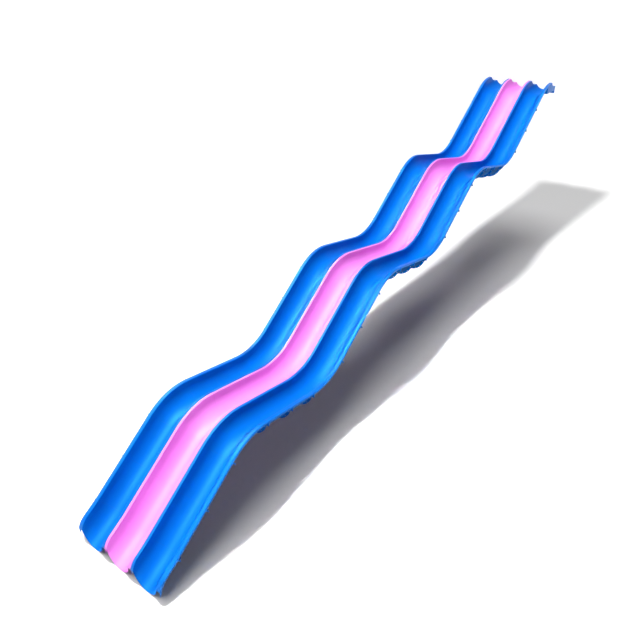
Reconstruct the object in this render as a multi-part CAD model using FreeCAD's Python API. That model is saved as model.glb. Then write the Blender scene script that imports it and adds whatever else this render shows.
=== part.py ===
import FreeCAD, Part
import math
import os
from functools import cache

# Three-lane wave slide: three open glass-fibre channels side by side, each bolted
# together from short moulded sections, with three waves between four steep drops.
#
# Frame: +X runs across the lanes, +Y points back towards the start tower, +Z is up.
# The origin is the centre of the four tower bolts in the middle lane's start flange.
# All lengths are in millimetres and all angles in degrees.

# ---- driving dimensions: lanes and cross-section ----
LANE_NAMES = ("left", "middle", "right")
LANE_PITCH = 900.0            # centre to centre of neighbouring lanes
LANE_GAP = 4.0                # between neighbouring rims, filled by the rim seal
OUTER_RIM_EXTRA = 40.0        # the two outside rims are wider by this much
SHELL = 8.0                   # laminate thickness
CHANNEL_DEPTH = 441.0         # rim top above the channel floor
FLOOR_RADIUS = 365.0          # round channel floor
WALL_ANGLE = 80.0             # side walls, measured from the floor plane
INNER_CORNER = 22.0           # wall to rim
OUTER_CORNER = 14.0           # rim to lip
LIP_DEPTH = 60.0              # downturned edge of the rim

# ---- driving dimensions: side profile ----
SLOPE = 35.0                  # the four drops fall at this angle
RISE = 11.5                   # the back of each wave climbs at this angle
TRAY_SLOPE = 5.0              # fall of the start tray
RUN_OUT_SLOPE = 30.0          # fall of the last section
WAVES = 3
DROP_LENGTH = 1128.0          # one straight drop section, two to a drop
RISE_LENGTH = 920.0           # one straight rise section, two to a wave
CREST_RADIUS = 1206.0         # floor radius over a crest
VALLEY_RADIUS = 2120.0        # floor radius through a valley
TRAY_LENGTH = 830.0            # straight part of the tray, along its floor
START_DROP_LENGTH = 792.0     # straight part of the start section, below its crest
RUN_OUT_RADIUS = 2700.0       # bend that eases the last drop to the run-out
RUN_OUT_LENGTH = 700.0

# ---- driving dimensions: start tray and run-out ends ----
TRAY_RIM_HEIGHT = 135.0       # level rim of the tray above the tower bolts' centre
TRAY_RIM_LENGTH = 360.0       # level part of the tray's rim
RIM_RAMP_LENGTH = 270.0       # the rim climbs to full height over this length
RIM_RAMP_RADIUS = 70.0         # bends at both ends of the ramp
TRAY_DEPTH = 176.0            # rim above the floor at the tower end
SKIRT_LENGTH = 1080.0         # outside panel beside the start
SKIRT_BOTTOM = -45.0          # its lower edge
NOSE_ANGLE = 69.0             # the run-out's rim rolls down to this angle
NOSE_RADIUS = 450.0
NOSE_START = 60.0             # rim corner to the end, measured level
NOSE_REACH = 800.0            # rolled rim before it is trimmed at the lane's end
TOWER_FLANGE = 12.0           # plate thickness
TOWER_FLANGE_DROP = 120.0     # plate below the tray's floor
TOWER_BOLTS_X = 800.0         # spacing across the lane
TOWER_BOLTS_Z = 180.0         # spacing up the flange
TOWER_HOLE_RADIUS = 7.0       # M12 clearance

# ---- driving dimensions: section joints and fasteners ----
FLANGE = 10.0                 # thickness of a section's end flange
FLANGE_HEIGHT = 65.0          # flange outside the shell
FLANGE_TOP_GAP = 18.0         # flange below the rim's top
EAR_REACH = 24.0              # outside flanges stand this far past the rim
EAR_HEIGHT = 110.0            # height of that part
SEAL = 3.0                    # joint seal between two flanges
BOLT_RADIUS = 5.0             # M10
HOLE_CLEARANCE = 0.6
BOLT_LINE = 36.0              # bolt centres outside the shell
BOLT_ANGLES = (-75.0, -50.0, -25.0, 0.0, 25.0, 50.0, 75.0)
HEAD_WIDTH = 16.0             # across flats, bolts and nuts
HEAD_HEIGHT = 6.5
WASHER_RADIUS = 11.0
WASHER = 2.0
NUT_HEIGHT = 8.5
NUT_CLEARANCE = 0.1
THREAD_PROUD = 4.0
RIM_BOLT_DROP = 34.0          # rim bolts below the rim's top
RIM_BOLT_SHARES = (0.25, 0.75)  # places along a section
TRAY_RIM_BOLT = 0.9           # the start has one bolt at this share of its tray
DROP_RIM_BOLT = 0.5           # and one at this share of its drop
RUN_OUT_RIM_BOLTS = (0.25, 1.25)  # shares of the run-out's bend, the last one past it

# ---- worked out once ----
HALF_LANE = LANE_PITCH / 2 - LANE_GAP / 2
HOLE_RADIUS = BOLT_RADIUS + HOLE_CLEARANCE
OVERRUN = 200.0               # trimmed off again at both ends of a lane
FAR = 2000.0                  # larger than anything cut with it
TOUCHING = 0.001              # two points nearer than this are one
JOINT_GRIP = 2 * FLANGE + SEAL
RIM_GRIP = 2 * SHELL + LANE_GAP
LANES = range(len(LANE_NAMES))
X_AXIS = FreeCAD.Vector(1, 0, 0)


def lane_x(lane):
    return (lane - 1) * LANE_PITCH


def half_widths(lane):
    """Distances from the lane's centre to its left and right rim edges."""
    left = HALF_LANE + (OUTER_RIM_EXTRA if lane == LANES[0] else 0.0)
    right = HALF_LANE + (OUTER_RIM_EXTRA if lane == LANES[-1] else 0.0)
    return left, right


def outside_edges(lane):
    """(side, half width) for each rim of this lane that no other lane adjoins."""
    left, right = half_widths(lane)
    edges = []
    if lane == LANES[0]:
        edges.append((-1, left))
    if lane == LANES[-1]:
        edges.append((1, right))
    return edges


def box(x0, x1, y0, y1, z0, z1):
    return Part.makeBox(x1 - x0, y1 - y0, z1 - z0, FreeCAD.Vector(x0, y0, z0))


# ---- stations along a lane ----
class Station:
    """A place on the channel's floor line: y, z and the fall angle there."""

    def __init__(self, y, z, fall):
        self.y = y
        self.z = z
        self.fall = fall

    def ahead(self):
        turn = math.radians(self.fall)
        return -math.cos(turn), -math.sin(turn)

    def up(self):
        turn = math.radians(self.fall)
        return -math.sin(turn), math.cos(turn)

    def lifted(self, height, along=0.0):
        """The point this far above the floor line, and this far down the lane."""
        up, ahead = self.up(), self.ahead()
        y = self.y + height * up[0] + along * ahead[0]
        z = self.z + height * up[1] + along * ahead[1]
        return y, z

    def moved(self, along):
        return Station(*self.lifted(0.0, along), self.fall)

    def placement(self, x):
        """Local X is across, local Y is away from the floor, local Z is down the lane."""
        turn = FreeCAD.Rotation(X_AXIS, 90.0 + self.fall)
        return FreeCAD.Placement(FreeCAD.Vector(x, self.y, self.z), turn)


class Run:
    """One stretch of a lane's floor line: straight, or an arc in the side view."""

    def __init__(self, start, length=0.0, radius=0.0, fall_to=None):
        self.start = start
        self.radius = radius
        self.turn = 0.0 if fall_to is None else fall_to - start.fall
        if fall_to is None:
            self.length = length
            self.end = start.moved(length)
        else:
            self.length = radius * math.radians(abs(self.turn))
            self.end = self.at(1.0)

    def centre(self):
        side = -1.0 if self.turn > 0 else 1.0
        return self.start.lifted(side * self.radius)

    def at(self, share):
        """The station at this share of the run's length."""
        if not self.turn:
            return self.start.moved(share * self.length)
        side = 1.0 if self.turn > 0 else -1.0
        there = Station(*self.centre(), self.start.fall + share * self.turn)
        return Station(*there.lifted(side * self.radius), there.fall)

    def sweep(self, face, x):
        """Carries a local face along the run."""
        placed = face.copy()
        placed.Placement = self.start.placement(x)
        if not self.turn:
            y, z = self.start.ahead()
            return placed.extrude(FreeCAD.Vector(0, y * self.length, z * self.length))
        y, z = self.centre()
        return placed.revolve(FreeCAD.Vector(x, y, z), X_AXIS, self.turn)


def lane_plan():
    """All sections of a lane from the tower down: (name, [runs]) for each moulding."""
    here = Station(0.0, TRAY_RIM_HEIGHT - TRAY_DEPTH, TRAY_SLOPE)
    plan = []

    def add(name, *steps):
        nonlocal here
        runs = []
        for step in steps:
            runs.append(Run(here, **step))
            here = runs[-1].end
        plan.append((name, runs))
        here = here.moved(SEAL)

    add("start", {"length": TRAY_LENGTH}, {"radius": CREST_RADIUS, "fall_to": SLOPE},
        {"length": START_DROP_LENGTH})
    for wave in range(1, WAVES + 1):
        add(f"drop_{wave}", {"length": DROP_LENGTH})
        add(f"drop_{wave}", {"length": DROP_LENGTH})
        add(f"wave_{wave}_valley", {"radius": VALLEY_RADIUS, "fall_to": -RISE})
        add(f"wave_{wave}_lower_rise", {"length": RISE_LENGTH})
        add(f"wave_{wave}_upper_rise", {"length": RISE_LENGTH})
        add(f"wave_{wave}_crest", {"radius": CREST_RADIUS, "fall_to": SLOPE})
    add(f"drop_{WAVES + 1}", {"length": DROP_LENGTH})
    add(f"drop_{WAVES + 1}", {"length": DROP_LENGTH})
    add("run_out", {"radius": RUN_OUT_RADIUS, "fall_to": RUN_OUT_SLOPE},
        {"length": RUN_OUT_LENGTH})
    return plan


# ---- cross-section in local X (across) and Y (away from the floor) ----
def arc(centre, radius, from_angle, to_angle):
    """An arc of the cross-section; angles run anticlockwise from local +X."""
    points = []
    for angle in (from_angle, (from_angle + to_angle) / 2, to_angle):
        turn = math.radians(angle)
        x = centre[0] + radius * math.cos(turn)
        y = centre[1] + radius * math.sin(turn)
        points.append(FreeCAD.Vector(x, y, 0))
    return Part.Arc(*points).toShape()


def line(start, end):
    return Part.LineSegment(start, end).toShape()


def wall_top():
    """How far the straight wall runs up from the round floor to the rim's corner."""
    turn = math.radians(WALL_ANGLE)
    floor_top = FLOOR_RADIUS * (1 - math.cos(turn))
    corner = INNER_CORNER * (1 - math.cos(turn))
    return (CHANNEL_DEPTH - corner - floor_top) / math.sin(turn)


def wall_point(side, offset, along):
    """A point on the wall line: offset outside the inner surface, along it."""
    turn = math.radians(WALL_ANGLE)
    x = (FLOOR_RADIUS + offset) * math.sin(turn) + along * math.cos(turn)
    y = FLOOR_RADIUS - (FLOOR_RADIUS + offset) * math.cos(turn) + along * math.sin(turn)
    return FreeCAD.Vector(side * x, y, 0)


def rim_arcs(half_width, offset):
    """Right-hand rim: wall corner and lip corner of the line at this offset."""
    at_top = wall_point(1, INNER_CORNER, wall_top())
    inner = arc((at_top.x, at_top.y), INNER_CORNER - offset, 90.0 + WALL_ANGLE, 90.0)
    centre = (half_width - OUTER_CORNER, CHANNEL_DEPTH - OUTER_CORNER)
    outer = arc(centre, OUTER_CORNER - offset, 90.0, 0.0)
    return inner, outer


def backwards(edge):
    """An arc's last, middle and first points."""
    first, last = edge.FirstParameter, edge.LastParameter
    return [edge.valueAt(place) for place in (last, (first + last) / 2, first)]


def mirrored(edge):
    """The same arc on the left-hand side, running the other way."""
    return Part.Arc(*[FreeCAD.Vector(-p.x, p.y, 0) for p in backwards(edge)]).toShape()


def reverse(item):
    """The same arc or corner point, passed the other way."""
    if isinstance(item, FreeCAD.Vector):
        return item
    return Part.Arc(*backwards(item)).toShape()


def floor_arc(offset):
    return arc((0, FLOOR_RADIUS), FLOOR_RADIUS + offset, -90.0 - WALL_ANGLE, -90.0 + WALL_ANGLE)


def polygon_chain(items):
    """A face from arcs and corner points, joined in order by straight lines."""
    chain = []
    ends = []
    for item in items:
        if isinstance(item, FreeCAD.Vector):
            ends.append((item, item, None))
        else:
            first, last = item.FirstParameter, item.LastParameter
            ends.append((item.valueAt(first), item.valueAt(last), item))
    for index, (_, stop, edge) in enumerate(ends):
        if edge is not None:
            chain.append(edge)
        begin = ends[(index + 1) % len(ends)][0]
        if stop.distanceToPoint(begin) > TOUCHING:
            chain.append(line(stop, begin))
    return Part.Face(Part.Wire(chain))


@cache
def full_profile(lane):
    """The whole laminate of a section: lip, rim, wall, floor, wall, rim, lip."""
    left, right = half_widths(lane)
    lip_foot = CHANNEL_DEPTH - LIP_DEPTH
    faces = []
    for offset in (0.0, SHELL):
        inner_r, outer_r = rim_arcs(right, offset)
        inner_l, outer_l = rim_arcs(left, offset)
        faces.append([
            FreeCAD.Vector(-left + offset, lip_foot, 0), mirrored(outer_l), mirrored(inner_l),
            floor_arc(offset),
            inner_r, outer_r, FreeCAD.Vector(right - offset, lip_foot, 0),
        ])
    ridden, underside = faces
    return polygon_chain(ridden + [reverse(item) for item in reversed(underside)])


def channel_region(offset, height):
    """Everything inside the channel's line at this offset, up to this height."""
    turn = math.radians(WALL_ANGLE)
    floor_top = FLOOR_RADIUS - (FLOOR_RADIUS + offset) * math.cos(turn)
    along = (height - floor_top) / math.sin(turn)
    corners = [wall_point(1, offset, along), wall_point(-1, offset, along)]
    return polygon_chain([floor_arc(offset)] + corners)


# ---- end flange, joint seal and their bolt holes, in a station's local frame ----
def flange_bolt_points():
    reach = FLOOR_RADIUS + SHELL + BOLT_LINE
    points = []
    for angle in BOLT_ANGLES:
        turn = math.radians(angle)
        points.append((reach * math.sin(turn), FLOOR_RADIUS - reach * math.cos(turn)))
    return points


def flange_outline(lane, thickness):
    """The flange's outer outline as a plate, before the channel is cut out of it."""
    left, right = half_widths(lane)
    top = CHANNEL_DEPTH - FLANGE_TOP_GAP
    plate = channel_region(SHELL + FLANGE_HEIGHT, top).extrude(FreeCAD.Vector(0, 0, thickness))
    plate = plate.common(box(-left, right, -FAR, FAR, 0, thickness))
    for side, half in outside_edges(lane):
        near, far = sorted((side * FLOOR_RADIUS, side * (half + EAR_REACH)))
        plate = plate.fuse(box(near, far, top - EAR_HEIGHT, top, 0, thickness))
    return plate.removeSplitter()


def drill(shape, points, radius, depth):
    """Holes along local Z, from just below the plate to just above it."""
    for x, y in points:
        hole = Part.makeCylinder(radius, depth + 2 * SEAL, FreeCAD.Vector(x, y, -SEAL))
        shape = shape.cut(hole)
    return shape


@cache
def flange_plate(lane):
    """End flange; its inner edge lies within the laminate that it is moulded with."""
    plate = flange_outline(lane, FLANGE)
    plate = plate.cut(channel_region(SHELL / 2, FAR).extrude(FreeCAD.Vector(0, 0, FLANGE)))
    return drill(plate, flange_bolt_points(), HOLE_RADIUS, FLANGE)


@cache
def joint_seal(lane):
    """Flat seal with the outline of the two flanges and of the laminate between them."""
    seal = flange_outline(lane, SEAL)
    seal = seal.cut(channel_region(0.0, FAR).extrude(FreeCAD.Vector(0, 0, SEAL)))
    seal = seal.fuse(full_profile(lane).extrude(FreeCAD.Vector(0, 0, SEAL))).removeSplitter()
    return drill(seal, flange_bolt_points(), HOLE_RADIUS, SEAL)


def placed(shape, station, x):
    copy = shape.copy()
    copy.Placement = station.placement(x)
    return copy


def plain_section(runs, lane):
    """Laminate swept along one run, with a flange at each end."""
    x = lane_x(lane)
    run, = runs
    shell = run.sweep(full_profile(lane), x)
    shell = shell.fuse(placed(flange_plate(lane), run.start, x))
    shell = shell.fuse(placed(flange_plate(lane), run.end.moved(-FLANGE), x))
    return shell.removeSplitter()


# ---- side-view outlines, for the rims of the start tray and the run-out ----
def rounded_edges(points, radii):
    """Edges of a side-view path through (y, z) points; inner points get arcs."""
    edges = []
    start = points[0]
    for before, corner, after, radius in zip(points, points[1:], points[2:], radii):
        ahead = unit(before, corner)
        leaving = unit(corner, after)
        turn = math.acos(max(-1.0, min(1.0, ahead[0] * leaving[0] + ahead[1] * leaving[1])))
        cut = radius * math.tan(turn / 2)
        begin = (corner[0] - cut * ahead[0], corner[1] - cut * ahead[1])
        end = (corner[0] + cut * leaving[0], corner[1] + cut * leaving[1])
        bisector = unit((0, 0), (leaving[0] - ahead[0], leaving[1] - ahead[1]))
        to_centre = radius / math.cos(turn / 2)
        reach = to_centre - radius
        middle = (corner[0] + reach * bisector[0], corner[1] + reach * bisector[1])
        # a bend right at one end of the path has no straight line there
        begin = start if math.dist(start, begin) < TOUCHING else begin
        end = after if math.dist(end, after) < TOUCHING else end
        if begin != start:
            edges.append(line(side_point(start), side_point(begin)))
        edges.append(Part.Arc(side_point(begin), side_point(middle), side_point(end)).toShape())
        start = end
    if start != points[-1]:
        edges.append(line(side_point(start), side_point(points[-1])))
    return edges


def side_point(point):
    return FreeCAD.Vector(0, point[0], point[1])


def unit(start, end):
    y, z = end[0] - start[0], end[1] - start[1]
    size = math.hypot(y, z)
    return y / size, z / size


def lowered(points, radii, depth):
    """The same path, moved down by depth at right angles to itself."""
    moved = []
    steps = [unit(a, b) for a, b in zip(points, points[1:])]
    for index, point in enumerate(points):
        before = steps[max(index - 1, 0)]
        after = steps[min(index, len(steps) - 1)]
        # paths run towards -Y, so their left-hand normal points down
        normal_before = (-before[1], before[0])
        normal_after = (-after[1], after[0])
        share = 1 + normal_before[0] * normal_after[0] + normal_before[1] * normal_after[1]
        y = point[0] + depth * (normal_before[0] + normal_after[0]) / share
        z = point[1] + depth * (normal_before[1] + normal_after[1]) / share
        moved.append((y, z))
    new_radii = []
    for radius, before, after in zip(radii, steps, steps[1:]):
        falls_away = before[0] * after[1] - before[1] * after[0] > 0
        new_radii.append(radius - depth if falls_away else radius + depth)
    return moved, new_radii


def band(points, radii, top_depth, bottom_depth, x0, x1):
    """A strip between two depths below a side-view path, from x0 to x1."""
    upper, upper_radii = lowered(points, radii, top_depth)
    lower, lower_radii = lowered(points, radii, bottom_depth)
    edges = rounded_edges(upper, upper_radii)
    edges.append(line(side_point(upper[-1]), side_point(lower[-1])))
    edges += rounded_edges(lower[::-1], lower_radii[::-1])
    edges.append(line(side_point(lower[0]), side_point(upper[0])))
    face = Part.Face(Part.Wire(edges))
    face.translate(FreeCAD.Vector(x0, 0, 0))
    return face.extrude(FreeCAD.Vector(x1 - x0, 0, 0))


def above(points, radii):
    """All the space over a side-view path, and a little past its lower end."""
    ahead = unit(points[-2], points[-1])
    beyond = (points[-1][0] + FAR * ahead[0], points[-1][1] + FAR * ahead[1])
    path = points[:-1] + [beyond]
    edges = rounded_edges(path, radii)
    high = max(z for _, z in path) + FAR
    corners = [beyond, (beyond[0], high), (path[0][0], high), path[0]]
    for start, end in zip(corners, corners[1:]):
        edges.append(line(side_point(start), side_point(end)))
    face = Part.Face(Part.Wire(edges))
    face.translate(FreeCAD.Vector(-FAR, 0, 0))
    return face.extrude(FreeCAD.Vector(2 * FAR, 0, 0))


def meeting(station_a, station_b, height):
    """Where the rim lines of two straight stretches cross in the side view."""
    start, step = station_a.lifted(height), station_a.ahead()
    other, other_step = station_b.lifted(height), station_b.ahead()
    across = step[0] * other_step[1] - step[1] * other_step[0]
    gap = (other[0] - start[0], other[1] - start[1])
    share = (gap[0] * other_step[1] - gap[1] * other_step[0]) / across
    return start[0] + share * step[0], start[1] + share * step[1]


def on_line(station, height, y):
    """The point at this y on the rim line of a straight stretch."""
    start, step = station.lifted(height), station.ahead()
    share = (y - start[0]) / step[0]
    return y, start[1] + share * step[1]


def start_rim(runs):
    """Rim of the start section: level tray, ramp, crest, then down the drop."""
    ramp_top = on_line(runs[0].start, CHANNEL_DEPTH, -TRAY_RIM_LENGTH - RIM_RAMP_LENGTH)
    points = [
        (OVERRUN, TRAY_RIM_HEIGHT),
        (-TRAY_RIM_LENGTH, TRAY_RIM_HEIGHT),
        ramp_top,
        meeting(runs[0].start, runs[-1].start, CHANNEL_DEPTH),
        runs[-1].end.lifted(CHANNEL_DEPTH),
    ]
    return points, [RIM_RAMP_RADIUS, RIM_RAMP_RADIUS, CREST_RADIUS + CHANNEL_DEPTH]


def run_out_rim(runs):
    """Rim of the run-out: down the drop, eased, then rolled down to the nose."""
    end = runs[-1].end
    corner = on_line(end, CHANNEL_DEPTH, end.y + NOSE_START)
    nose = Station(*corner, NOSE_ANGLE)
    points = [
        runs[0].start.lifted(CHANNEL_DEPTH),
        meeting(runs[0].start, end, CHANNEL_DEPTH),
        corner,
        nose.lifted(0.0, NOSE_REACH),
    ]
    return points, [RUN_OUT_RADIUS - CHANNEL_DEPTH, NOSE_RADIUS]


def rims(points, radii, lane):
    """Flat rims with downturned lips along a side-view path."""
    left, right = half_widths(lane)
    x = lane_x(lane)
    strips = band(points, radii, 0.0, SHELL, x - left, x + right)
    strips = strips.fuse(band(points, radii, 0.0, LIP_DEPTH, x - left, x - left + SHELL))
    return strips.fuse(band(points, radii, 0.0, LIP_DEPTH, x + right - SHELL, x + right))


def behind_tower_face(x):
    return box(x - FAR, x + FAR, 0, FAR, -FAR, FAR)


def beyond(end, x):
    """The space past the lane's lower end, which is cut upright."""
    return box(x - FAR, x + FAR, end.y - FAR, end.y, end.z - FAR, end.z + FAR)


def trough(runs, lane, offset):
    """Swept channel region at this offset, higher than any rim."""
    region = channel_region(offset, CHANNEL_DEPTH + OVERRUN)
    solid = runs[0].sweep(region, lane_x(lane))
    for run in runs[1:]:
        solid = solid.fuse(run.sweep(region, lane_x(lane)))
    return solid


def start_section(runs, lane):
    """Start moulding: tray with low rims, crest, first slope and the tower flange."""
    x = lane_x(lane)
    left, right = half_widths(lane)
    points, radii = start_rim(runs)
    longer = [Run(runs[0].start.moved(-OVERRUN), length=TRAY_LENGTH + OVERRUN)] + runs[1:]
    inside = trough(longer, lane, 0.0)
    body = trough(longer, lane, SHELL)
    body = body.fuse(rims(points, radii, lane))
    plate_bottom = runs[0].start.z - TOWER_FLANGE_DROP
    body = body.fuse(box(x - left, x + right, -TOWER_FLANGE, 0, plate_bottom, FAR))
    front_face = -SKIRT_LENGTH
    for side, half in outside_edges(lane):
        edge = x + side * half
        skin = sorted((edge, edge - side * SHELL))
        # the front panel runs in under the channel, which trims it
        front = sorted((edge, x + side * FLOOR_RADIUS / 2))
        body = body.fuse(box(*skin, front_face, 0, SKIRT_BOTTOM, FAR))
        body = body.fuse(box(*front, front_face, front_face + FLANGE, SKIRT_BOTTOM, FAR))
    body = body.cut(above(points, radii)).cut(inside).cut(behind_tower_face(x))
    body = body.fuse(placed(flange_plate(lane), runs[-1].end.moved(-FLANGE), x))
    for sx in (-1, 1):
        for sz in (-1, 1):
            at = (x + sx * TOWER_BOLTS_X / 2, -2 * TOWER_FLANGE, sz * TOWER_BOLTS_Z / 2)
            body = body.cut(Part.makeCylinder(
                TOWER_HOLE_RADIUS, 4 * TOWER_FLANGE, FreeCAD.Vector(*at), FreeCAD.Vector(0, 1, 0)))
    return body.removeSplitter()


def run_out_section(runs, lane):
    """Run-out moulding: the rims roll down and the channel ends at the ground."""
    x = lane_x(lane)
    points, radii = run_out_rim(runs)
    longer = runs[:-1] + [Run(runs[-1].start, length=RUN_OUT_LENGTH + OVERRUN)]
    body = trough(longer, lane, SHELL)
    body = body.fuse(rims(points, radii, lane))
    body = body.cut(above(points, radii)).cut(trough(longer, lane, 0.0))
    body = body.cut(beyond(runs[-1].end, x))
    body = body.fuse(placed(flange_plate(lane), runs[0].start, x))
    return body.removeSplitter()


# ---- fasteners, modelled along local +Z with the head's seat at the origin ----
def hexagon(width, height):
    radius = width / math.sqrt(3)
    corners = []
    for step in range(7):
        turn = math.radians(60 * step)
        corners.append(FreeCAD.Vector(radius * math.cos(turn), radius * math.sin(turn), 0))
    return Part.Face(Part.makePolygon(corners)).extrude(FreeCAD.Vector(0, 0, height))


def flange_bolt(grip):
    """Flange-head bolt: head below the origin, shank up through the grip."""
    head = hexagon(HEAD_WIDTH, HEAD_HEIGHT)
    head.translate(FreeCAD.Vector(0, 0, -WASHER - HEAD_HEIGHT))
    washer = Part.makeCylinder(WASHER_RADIUS, WASHER, FreeCAD.Vector(0, 0, -WASHER))
    shank = Part.makeCylinder(BOLT_RADIUS, grip + WASHER + NUT_HEIGHT + THREAD_PROUD)
    return head.fuse(washer).fuse(shank).removeSplitter()


def flange_nut(grip):
    """Flange nut seated at the far side of the grip."""
    washer = Part.makeCylinder(WASHER_RADIUS, WASHER, FreeCAD.Vector(0, 0, grip))
    nut = hexagon(HEAD_WIDTH, NUT_HEIGHT)
    nut.translate(FreeCAD.Vector(0, 0, grip + WASHER))
    bore = Part.makeCylinder(BOLT_RADIUS + NUT_CLEARANCE, FAR, FreeCAD.Vector(0, 0, 0))
    return washer.fuse(nut).removeSplitter().cut(bore)


def at_local(shape, station, x, local_x, local_y, local_z):
    copy = shape.copy()
    place = station.placement(x)
    copy.Placement = place.multiply(FreeCAD.Placement(
        FreeCAD.Vector(local_x, local_y, local_z), FreeCAD.Rotation()))
    return copy


def across(shape, x, point):
    """Turns a fastener to lie along +X with its seat at x and at this (y, z)."""
    copy = shape.copy()
    turn = FreeCAD.Rotation(FreeCAD.Vector(0, 1, 0), 90)
    copy.Placement = FreeCAD.Placement(FreeCAD.Vector(x, point[0], point[1]), turn)
    return copy


def rim_bolt_places(name, runs):
    """Side-view places of the bolts that join two lanes' lips along a section."""
    if name == "start":
        stations = [runs[-1].at(DROP_RIM_BOLT), runs[0].at(TRAY_RIM_BOLT)]
    elif name == "run_out":
        stations = [runs[0].at(share) for share in RUN_OUT_RIM_BOLTS]
    else:
        stations = [runs[0].at(share) for share in RIM_BOLT_SHARES]
    return [station.lifted(CHANNEL_DEPTH - RIM_BOLT_DROP) for station in stations]


def rim_seal_profile():
    """Strip between two lips, in the local frame of the lane boundary."""
    half = LANE_GAP / 2
    foot, head = CHANNEL_DEPTH - LIP_DEPTH, CHANNEL_DEPTH - OUTER_CORNER / 2
    outline = [(-half, foot), (half, foot), (half, head), (-half, head), (-half, foot)]
    return Part.Face(Part.makePolygon([FreeCAD.Vector(px, py, 0) for px, py in outline]))


def rim_seal(name, runs, x):
    """Seal between two lanes along one section, with holes for the rim bolts."""
    if name == "start":
        strip = end_rim_seal(*start_rim(runs), x).cut(behind_tower_face(x))
    elif name == "run_out":
        strip = end_rim_seal(*run_out_rim(runs), x).cut(beyond(runs[-1].end, x))
    else:
        strip = runs[0].sweep(rim_seal_profile(), x)
    for cutter in rim_holes(name, runs):
        strip = strip.cut(cutter)
    return strip


def end_rim_seal(points, radii, x):
    return band(points, radii, OUTER_CORNER / 2, LIP_DEPTH, x - LANE_GAP / 2, x + LANE_GAP / 2)


def rim_holes(name, runs):
    """Hole cutters through both lips at each boundary between two lanes."""
    cutters = []
    for boundary in LANES[:-1]:
        x = lane_x(boundary) + LANE_PITCH / 2
        for y, z in rim_bolt_places(name, runs):
            start = FreeCAD.Vector(x - RIM_GRIP, y, z)
            cutters.append(Part.makeCylinder(HOLE_RADIUS, 2 * RIM_GRIP, start, X_AXIS))
    return cutters


def section(name, runs, lane):
    if name == "start":
        shape = start_section(runs, lane)
    elif name == "run_out":
        shape = run_out_section(runs, lane)
    else:
        shape = plain_section(runs, lane)
    for cutter in rim_holes(name, runs):
        shape = shape.cut(cutter)
    return shape


# ---- the build ----
def build():
    nodes = {}
    plan = lane_plan()

    def put(node, shape):
        nodes.setdefault(node, []).append(shape)

    for name, runs in plan:
        for lane in LANES:
            put(f"{LANE_NAMES[lane]}_lane_{name}", section(name, runs, lane))
        for boundary in LANES[:-1]:
            x = lane_x(boundary) + LANE_PITCH / 2
            put("rim_seals", rim_seal(name, runs, x))
            for point in rim_bolt_places(name, runs):
                put("rim_bolts", across(flange_bolt(RIM_GRIP), x - RIM_GRIP / 2, point))
                put("rim_nuts", across(flange_nut(RIM_GRIP), x - RIM_GRIP / 2, point))
    for _, runs in plan[:-1]:
        end = runs[-1].end
        for lane in LANES:
            x = lane_x(lane)
            put("joint_seals", placed(joint_seal(lane), end, x))
            for px, py in flange_bolt_points():
                put("joint_bolts", at_local(flange_bolt(JOINT_GRIP), end, x, px, py, -FLANGE))
                put("joint_nuts", at_local(flange_nut(JOINT_GRIP), end, x, px, py, -FLANGE))
    return nodes


def solids_of(shapes):
    """The single solid of each shape; a shape of more or fewer pieces is an error."""
    solids = []
    for shape in shapes:
        found = shape.Solids
        if len(found) != 1:
            raise ValueError(f"{len(found)} solids where one was expected")
        solids.append(found[0])
    return solids


os.makedirs("parts", exist_ok=True)
for node, shapes in build().items():
    solids = solids_of(shapes)
    shape = solids[0] if len(solids) == 1 else Part.makeCompound(solids)
    shape.exportStep(f"parts/{node}.step")
    print(node, len(solids), round(shape.Volume / 1e6, 3))
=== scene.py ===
import bpy
import math
from mathutils import Matrix, Vector


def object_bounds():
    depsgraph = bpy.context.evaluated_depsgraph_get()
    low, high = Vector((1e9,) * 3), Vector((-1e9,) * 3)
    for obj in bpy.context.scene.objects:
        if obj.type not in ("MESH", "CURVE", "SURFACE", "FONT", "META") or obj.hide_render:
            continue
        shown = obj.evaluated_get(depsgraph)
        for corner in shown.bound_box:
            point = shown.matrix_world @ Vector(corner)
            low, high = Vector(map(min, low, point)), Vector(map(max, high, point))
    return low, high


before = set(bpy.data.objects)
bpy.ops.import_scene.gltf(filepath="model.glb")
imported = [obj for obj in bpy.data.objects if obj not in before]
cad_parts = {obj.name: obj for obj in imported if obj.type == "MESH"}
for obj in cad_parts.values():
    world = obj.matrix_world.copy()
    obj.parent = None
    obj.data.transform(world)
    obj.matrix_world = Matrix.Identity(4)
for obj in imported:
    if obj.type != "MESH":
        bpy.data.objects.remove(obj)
cad_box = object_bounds()

# Three-lane wave slide. The lanes lie side by side along X and fall towards -Y from the
# tower flange at the origin. All lengths are metres.

LANE_PITCH = 0.9
LOW = cad_box[0]
FLOOR_GAP = 0.002
GROUND = LOW.z - FLOOR_GAP

# ---- camera ----
# The view looks down on the slide from its right-hand side, from beyond its foot.
CAMERA_PLACE = Vector((8.057, -27.09, 4.415))
VIEW_RIGHT = Vector((0.816, 0.578, 0.0))
VIEW_DOWN = Vector((0.3069, -0.4333, -0.8474))
LENS = 31.47
SENSOR = 36.0
FAR_CLIP = 3000.0

# ---- light ----
# The lamp hangs over the foot of the slide, so the shadow widens towards the tower end.
LAMP_PLACE = Vector((-2.8, -21.0, GROUND + 22.1))
LAMP_POWER = 46.0
LAMP_RADIUS = 1.0
# A wide light from above lifts the shadow most where the slide stands high over it.
OVERHEAD_TRAVEL = Vector((0.1, 0.25, -1.0))
OVERHEAD_ENERGY = 1.85
OVERHEAD_ANGLE = 38.0
SKY = 0.07
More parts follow.
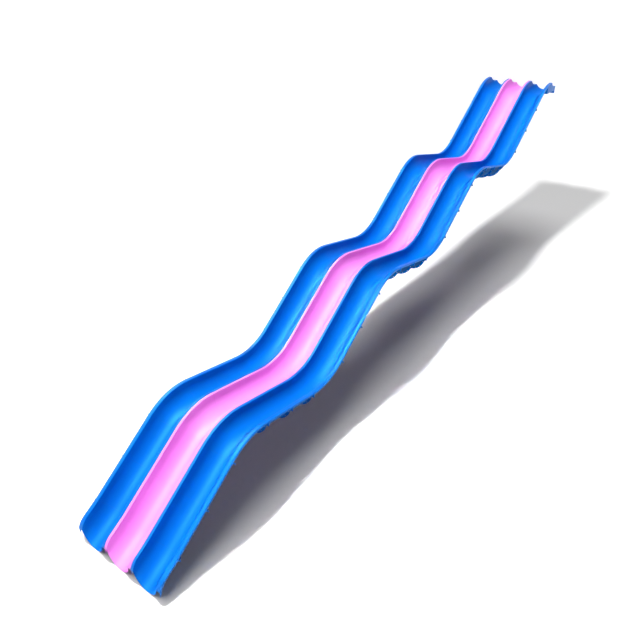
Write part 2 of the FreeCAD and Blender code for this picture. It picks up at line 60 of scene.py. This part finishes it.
# A long panel over the left side gives the channels their soft bright bands, and one on
# the right lights the outside faces.
BAND_PANEL = {"place": Vector((-12.0, -22.0, 14.0)), "aim": Vector((0.0, -15.0, -4.0)),
              "length": 46.0, "height": 8.0, "power": 13000.0}
SIDE_PANEL = {"place": Vector((24.0, -22.0, -2.0)), "aim": Vector((0.0, -12.0, -3.0)),
              "length": 24.0, "height": 6.0, "power": 1400.0}

# ---- floor ----
# The lamp only grazes the far floor, which would look grey without a glow of its own.
FLOOR_REACH = 1200.0
FLOOR_WHITE = 0.9
FLOOR_ROUGHNESS = 0.9
GLOW_BEGINS = 30.0
GLOW_IS_FULL = 130.0
GLOW_STRENGTH = 0.6

# ---- colours ----
BLUE = (0.001, 0.16, 0.68)
DEEP_BLUE = (0.001, 0.14, 0.62)
PALE_BLUE = (0.01, 0.22, 0.74)
BLUE_GLINT = (0.1, 0.75, 1.0)
PINK = (0.90, 0.29, 0.88)
DEEP_PINK = (0.88, 0.27, 0.86)
PALE_PINK = (0.93, 0.48, 0.92)
PINK_GLINT = (1.0, 0.9, 1.0)
BRIGHT_STEEL = (0.62, 0.62, 0.61)
TARNISHED_STEEL = (0.42, 0.41, 0.39)

# ---- surfaces ----
GELCOAT_IOR = 1.55
GELCOAT_SPECULAR = 0.5
POLISHED = (0.36, 0.46)         # the ridden side's roughness, from best to most worn
UNPOLISHED = 0.4                # what the underside's roughness has more than that
FACES_DOWN = (-0.12, -0.08)     # the normal's Z where the underside has taken over
UNDERSIDE_TONE_AND_SHADE = (0.3, 0.5)   # shares of the gelcoat's colour on the underside: partly the laminate's own tone, partly painted shade
SEAL_SHADE = 0.8
SEAL_SPECK_SHADE = 0.6
SEAL_ROUGHNESS = 0.55
SEAL_GRAIN = 90.0
STEEL_ROUGHNESS = (0.24, 0.42)


def make_camera():
    data = bpy.data.cameras.new("photo_view")
    data.lens = LENS
    data.sensor_width = SENSOR
    data.clip_end = FAR_CLIP
    camera = bpy.data.objects.new("photo_view", data)
    bpy.context.scene.collection.objects.link(camera)
    right = VIEW_RIGHT.normalized()
    up = (-VIEW_DOWN - right * right.dot(-VIEW_DOWN)).normalized()
    back = right.cross(up)
    turn = Matrix((right, up, back)).transposed()
    camera.matrix_world = Matrix.Translation(CAMERA_PLACE) @ turn.to_4x4()
    bpy.context.scene.camera = camera


# ---- node helpers ----
class Nodes:
    """Short way to write a material's node tree."""

    def __init__(self, name):
        self.material = bpy.data.materials.new(name)
        self.material.use_nodes = True
        self.tree = self.material.node_tree
        self.tree.nodes.clear()
        self.shader = self.add("ShaderNodeBsdfPrincipled")
        output = self.add("ShaderNodeOutputMaterial")
        self.link(self.shader.outputs["BSDF"], output.inputs["Surface"])
        self.place = self.add("ShaderNodeTexCoord")

    def add(self, kind, **values):
        node = self.tree.nodes.new(kind)
        for key, value in values.items():
            setattr(node, key, value)
        return node

    def link(self, source, target):
        self.tree.links.new(source, target)

    def noise(self, scale, detail=3.0, roughness=0.5, stretch=(1, 1, 1)):
        """A noise value with scale cells a metre, times stretch along each axis."""
        mapping = self.add("ShaderNodeMapping")
        mapping.inputs["Scale"].default_value = stretch
        self.link(self.place.outputs["Object"], mapping.inputs["Vector"])
        noise = self.add("ShaderNodeTexNoise")
        noise.inputs["Scale"].default_value = scale
        noise.inputs["Detail"].default_value = detail
        noise.inputs["Roughness"].default_value = roughness
        self.link(mapping.outputs["Vector"], noise.inputs["Vector"])
        return noise.outputs["Fac"]

    def ranged(self, value, low, high, to_low=0.0, to_high=1.0):
        node = self.add("ShaderNodeMapRange")
        for key, number in (("From Min", low), ("From Max", high),
                            ("To Min", to_low), ("To Max", to_high)):
            node.inputs[key].default_value = number
        self.link(value, node.inputs["Value"])
        return node.outputs["Result"]

    def mixed(self, factor, first, second):
        """A colour between two, each a tuple or a socket."""
        node = self.add("ShaderNodeMix", data_type="RGBA")
        self.link(factor, node.inputs["Factor"])
        # a colour mix has its colour sockets after the number and vector ones
        for socket, colour in ((node.inputs[6], first), (node.inputs[7], second)):
            if isinstance(colour, tuple):
                socket.default_value = (*colour, 1)
            else:
                self.link(colour, socket)
        return node.outputs[2]

    def maths(self, operation, first, second):
        node = self.add("ShaderNodeMath", operation=operation)
        for socket, value in zip(node.inputs, (first, second)):
            if isinstance(value, (int, float)):
                socket.default_value = value
            else:
                self.link(value, socket)
        return node.outputs["Value"]

    def axis(self, output, letter):
        node = self.add("ShaderNodeSeparateXYZ")
        self.link(self.place.outputs[output], node.inputs["Vector"])
        return node.outputs[letter]

    def bumped(self, height, strength, distance):
        node = self.add("ShaderNodeBump")
        node.inputs["Strength"].default_value = strength
        node.inputs["Distance"].default_value = distance
        self.link(height, node.inputs["Height"])
        self.link(node.outputs["Normal"], self.shader.inputs["Normal"])


def shaded(colour, share):
    return tuple(channel * share for channel in colour)


def gelcoat(name, colour, deep, pale, glint):
    """Polished gelcoat on the ridden side, and rough pigmented laminate on the underside,
    darkened there partly as painted shade.
    """
    n = Nodes(name)
    clouds = n.noise(scale=0.7, detail=2.0)
    # wear runs down the slide, so its noise is long in Y and fine across X
    streaks = n.noise(scale=1.0, detail=5.0, roughness=0.6, stretch=(26, 0.7, 5))
    scuffs = n.noise(scale=38.0, detail=6.0, roughness=0.7)
    strands = n.noise(scale=150.0, detail=4.0, roughness=0.75, stretch=(1, 0.35, 1))
    handled = n.noise(scale=2.4, detail=4.0, roughness=0.6, stretch=(3, 1, 1))
    down = n.ranged(n.axis("Normal", "Z"), *FACES_DOWN, to_low=1.0, to_high=0.0)

    body = n.mixed(n.ranged(clouds, 0.35, 0.65), colour, deep)
    body = n.mixed(n.ranged(streaks, 0.55, 0.85, to_high=0.16), body, pale)
    body = n.mixed(n.ranged(scuffs, 0.62, 0.8, to_high=0.22), body, pale)
    # faces pointing down get a darker colour: partly the laminate's own tone, partly painted
    # shade
    dark, light = (shaded(deep, share) for share in UNDERSIDE_TONE_AND_SHADE)
    laminate_and_painted_shade = n.mixed(n.ranged(strands, 0.3, 0.7), dark, light)
    n.link(n.mixed(down, body, laminate_and_painted_shade), n.shader.inputs["Base Color"])

    polish = n.ranged(handled, 0.3, 0.7, *POLISHED)
    dull = n.maths("MULTIPLY", down, UNPOLISHED)
    n.link(n.maths("ADD", polish, dull), n.shader.inputs["Roughness"])
    n.shader.inputs["IOR"].default_value = GELCOAT_IOR
    n.shader.inputs["Specular IOR Level"].default_value = GELCOAT_SPECULAR
    n.shader.inputs["Specular Tint"].default_value = (*glint, 1)

    ripple = n.maths("MULTIPLY", n.noise(scale=5.0, detail=1.0), 0.5)
    peel = n.maths("MULTIPLY", n.noise(scale=120.0, detail=2.0), 0.04)
    weave = n.maths("MULTIPLY", n.maths("MULTIPLY", strands, down), 0.6)
    height = n.maths("ADD", n.maths("ADD", ripple, peel), weave)
    n.bumped(height, strength=0.35, distance=0.004)
    return n.material


def sealant(name, inner, outer):
    """Seal material in the colour of the lane that it lies on: the middle lane's is inner."""
    n = Nodes(name)
    from_middle = n.maths("ABSOLUTE", n.axis("Object", "X"), 0.0)
    outside = n.maths("GREATER_THAN", from_middle, LANE_PITCH / 2)
    speckle = n.noise(scale=SEAL_GRAIN, detail=4.0, roughness=0.65)
    clean = n.mixed(outside, inner, outer)
    specked = n.mixed(outside, shaded(inner, SEAL_SPECK_SHADE),
                      shaded(outer, SEAL_SPECK_SHADE))
    colour = n.mixed(n.ranged(speckle, 0.35, 0.75, to_high=0.4), clean, specked)
    n.link(colour, n.shader.inputs["Base Color"])
    n.shader.inputs["Roughness"].default_value = SEAL_ROUGHNESS
    n.bumped(n.noise(scale=SEAL_GRAIN * 2), strength=0.3, distance=0.0006)
    return n.material


def steel(name):
    """Cold-headed stainless steel, with faint turning marks and tarnish."""
    n = Nodes(name)
    tarnish = n.noise(scale=60.0, detail=5.0, roughness=0.65)
    colour = n.mixed(n.ranged(tarnish, 0.4, 0.75), BRIGHT_STEEL, TARNISHED_STEEL)
    n.link(colour, n.shader.inputs["Base Color"])
    n.shader.inputs["Metallic"].default_value = 1.0
    turning = n.noise(scale=400.0, roughness=0.6, stretch=(1, 6, 1))
    n.link(n.ranged(turning, 0.3, 0.7, *STEEL_ROUGHNESS), n.shader.inputs["Roughness"])
    n.bumped(turning, strength=0.2, distance=0.0002)
    return n.material


def assign(material, node):
    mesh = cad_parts[node].data
    mesh.materials.clear()
    mesh.materials.append(material)


def make_floor():
    mesh = bpy.data.meshes.new("floor")
    corners = [(x * FLOOR_REACH, y * FLOOR_REACH, 0)
               for x, y in ((-1, -1), (1, -1), (1, 1), (-1, 1))]
    mesh.from_pydata(corners, [], [(0, 1, 2, 3)])
    floor = bpy.data.objects.new("floor", mesh)
    floor.location = (0, LOW.y / 2, GROUND)
    bpy.context.scene.collection.objects.link(floor)
    n = Nodes("pale_floor")
    n.shader.inputs["Base Color"].default_value = (FLOOR_WHITE, FLOOR_WHITE, FLOOR_WHITE, 1)
    n.shader.inputs["Roughness"].default_value = FLOOR_ROUGHNESS
    n.shader.inputs["Specular IOR Level"].default_value = 0.0
    away = n.add("ShaderNodeVectorMath", operation="LENGTH")
    n.link(n.place.outputs["Object"], away.inputs[0])
    n.shader.inputs["Emission Color"].default_value = (1, 1, 1, 1)
    glow = n.ranged(away.outputs["Value"], GLOW_BEGINS, GLOW_IS_FULL, to_high=GLOW_STRENGTH)
    n.link(glow, n.shader.inputs["Emission Strength"])
    mesh.materials.append(n.material)


def make_lamp():
    """A small bright lamp, of the same strength at every distance."""
    data = bpy.data.lights.new("lamp", "POINT")
    data.energy = LAMP_POWER
    data.shadow_soft_size = LAMP_RADIUS
    data.use_nodes = True
    tree = data.node_tree
    falloff = tree.nodes.new("ShaderNodeLightFalloff")
    falloff.inputs["Strength"].default_value = 1.0
    tree.links.new(falloff.outputs["Constant"], tree.nodes["Emission"].inputs["Strength"])
    lamp = bpy.data.objects.new("lamp", data)
    lamp.location = LAMP_PLACE
    lamp.visible_glossy = False
    bpy.context.scene.collection.objects.link(lamp)


def make_panel(name, place, aim, length, height, power):
    """A soft box with its long side level."""
    data = bpy.data.lights.new(name, "AREA")
    data.shape = "RECTANGLE"
    data.size, data.size_y = length, height
    data.energy = power
    light = bpy.data.objects.new(name, data)
    light.location = place
    light.rotation_mode = "QUATERNION"
    light.rotation_quaternion = (aim - place).to_track_quat("-Z", "Y")
    bpy.context.scene.collection.objects.link(light)
    return light


def make_overhead():
    data = bpy.data.lights.new("overhead", "SUN")
    data.energy = OVERHEAD_ENERGY
    data.angle = math.radians(OVERHEAD_ANGLE)
    overhead = bpy.data.objects.new("overhead", data)
    overhead.rotation_mode = "QUATERNION"
    overhead.rotation_quaternion = OVERHEAD_TRAVEL.to_track_quat("-Z", "Y")
    bpy.context.scene.collection.objects.link(overhead)


def make_backdrop():
    """Beyond the floor it looks as pale as the floor does, but it lights little."""
    world = bpy.data.worlds.new("studio")
    bpy.context.scene.world = world
    world.use_nodes = True
    background = world.node_tree.nodes["Background"]
    background.inputs["Color"].default_value = (1, 1, 1, 1)
    seen = world.node_tree.nodes.new("ShaderNodeLightPath")
    strength = world.node_tree.nodes.new("ShaderNodeMath")
    strength.operation = "MULTIPLY_ADD"
    strength.inputs[1].default_value = 1.0 - SKY
    strength.inputs[2].default_value = SKY
    world.node_tree.links.new(seen.outputs["Is Camera Ray"], strength.inputs[0])
    world.node_tree.links.new(strength.outputs["Value"], background.inputs["Strength"])


make_camera()
make_backdrop()
make_lamp()
make_overhead()
make_panel("band_panel", **BAND_PANEL).visible_diffuse = False
make_panel("side_panel", **SIDE_PANEL).visible_glossy = False
make_floor()
bpy.context.scene.view_settings.view_transform = "Standard"

blue = gelcoat("blue_gelcoat", BLUE, DEEP_BLUE, PALE_BLUE, BLUE_GLINT)
pink = gelcoat("pink_gelcoat", PINK, DEEP_PINK, PALE_PINK, PINK_GLINT)
metal = steel("stainless_steel")
joint_sealant = sealant("joint_sealant", shaded(PINK, SEAL_SHADE), shaded(BLUE, SEAL_SHADE))
rim_sealant = sealant("rim_sealant", BLUE, BLUE)
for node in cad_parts:
    if node.startswith("middle_lane"):
        assign(pink, node)
    elif "_lane_" in node:
        assign(blue, node)
    elif node.endswith(("bolts", "nuts")):
        assign(metal, node)
assign(joint_sealant, "joint_seals")
assign(rim_sealant, "rim_seals")
